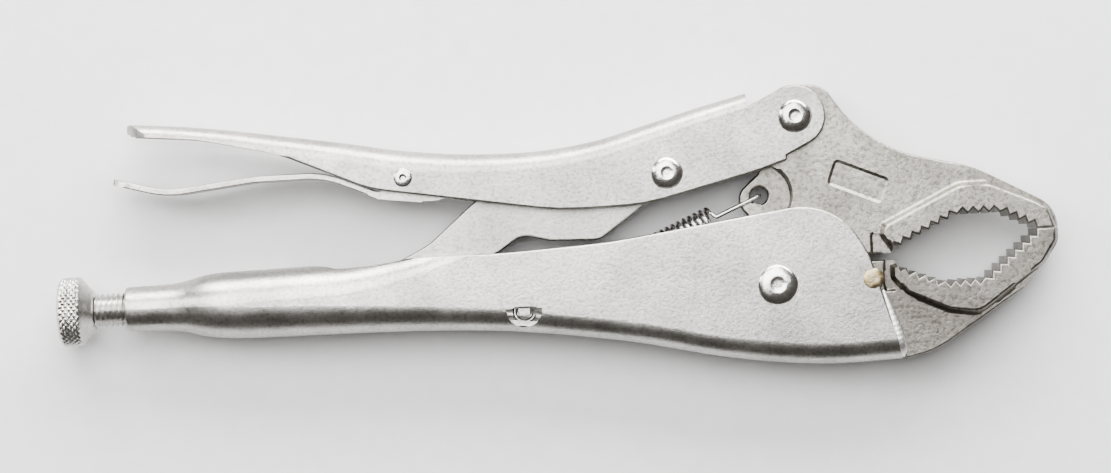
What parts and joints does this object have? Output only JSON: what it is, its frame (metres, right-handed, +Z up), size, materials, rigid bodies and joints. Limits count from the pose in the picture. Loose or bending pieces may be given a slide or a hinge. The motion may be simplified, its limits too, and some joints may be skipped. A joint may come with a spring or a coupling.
{
  "type": "locking pliers",
  "caption": "Curved-jaw locking pliers with a toggle lever, an adjusting screw at the handle's end and a release lever, shown shut and locked.",
  "frame": {"origin": "below the middle of the whole object's box, on the surface that it lies on, with the jaws shut and locked", "axes": "+X along the adjusting screw towards the jaws, +Y from the fixed handle to the lever handle, +Z up through the thickness, square to the rivets' heads"},
  "size_m": [0.2344, 0.0656, 0.0184],
  "materials": {
    "pressed_steel": "satin nickel plate on pressed sheet steel",
    "forged_steel": "satin nickel plate on fine-pitted forged steel",
    "link_steel": "nickel plate on stamped steel",
    "rivet_steel": "bright peened rivet",
    "screw_steel": "nickel plate, cut thread and knurl",
    "spring_steel": "bright drawn wire",
    "weld_metal": "plated weld bead",
    "braze_metal": "thinly plated braze"
  },
  "bodies": {
    "frame": {"fixed_handle": "pressed_steel", "fixed_jaw": "forged_steel", "weld_beads": "weld_metal", "braze_plugs": "braze_metal", "jaw_rivet": "rivet_steel", "tension_spring": "spring_steel"},
    "jaw": {"moving_jaw": "forged_steel", "lever_rivet": "rivet_steel"},
    "lever": {"lever_handle": "pressed_steel", "link_rivet": "rivet_steel", "release_rivet": "rivet_steel"},
    "link": {"toggle_link": "link_steel"},
    "release": {"release_lever": "pressed_steel"},
    "screw": {"screw_shank": "screw_steel"},
    "knob": {"screw_head": "screw_steel"}
  },
  "joints": [
    {"name": "lever_swing", "type": "hinge", "parent": "jaw", "child": "lever", "pos_m": [0.0569, 0.02548, 0.0092], "axis": [0, 0, -1], "range_deg": [0, 75.4]},
    {"name": "jaw_swing", "type": "hinge", "parent": "frame", "child": "jaw", "pos_m": [0.05115, -0.01359, 0.0092], "axis": [0, 0, 1], "range_deg": [0, 25], "deforming": ["tension_spring"]},
    {"name": "link_swing", "type": "hinge", "parent": "frame", "child": "link", "pos_m": [-0.04945, -0.01239, 0.0092], "axis": [0, 0, 1], "range_deg": [0, 22]},
    {"name": "release_press", "type": "hinge", "parent": "lever", "child": "release", "pos_m": [-0.03485, 0.01531, 0.0092], "axis": [0, 0, -1], "range_deg": [0, 7]},
    {"name": "screw_travel", "type": "slide", "parent": "frame", "child": "screw", "axis": [-1, 0, 0], "range_m": [0, 0.0175]},
    {"name": "screw_turn", "type": "hinge", "parent": "screw", "child": "knob", "pos_m": [-0.11285, -0.01239, 0.0092], "axis": [-1, 0, 0], "range_deg": [0, 5041]}
  ],
  "couplings": [
    {"joint": "jaw_swing", "follows": "lever_swing", "ratio": 0.33143},
    {"joint": "link_swing", "follows": "lever_swing", "ratio": 0.29036},
    {"joint": "screw_turn", "follows": "screw_travel", "rad_per_m": 5026.5}
  ]
}
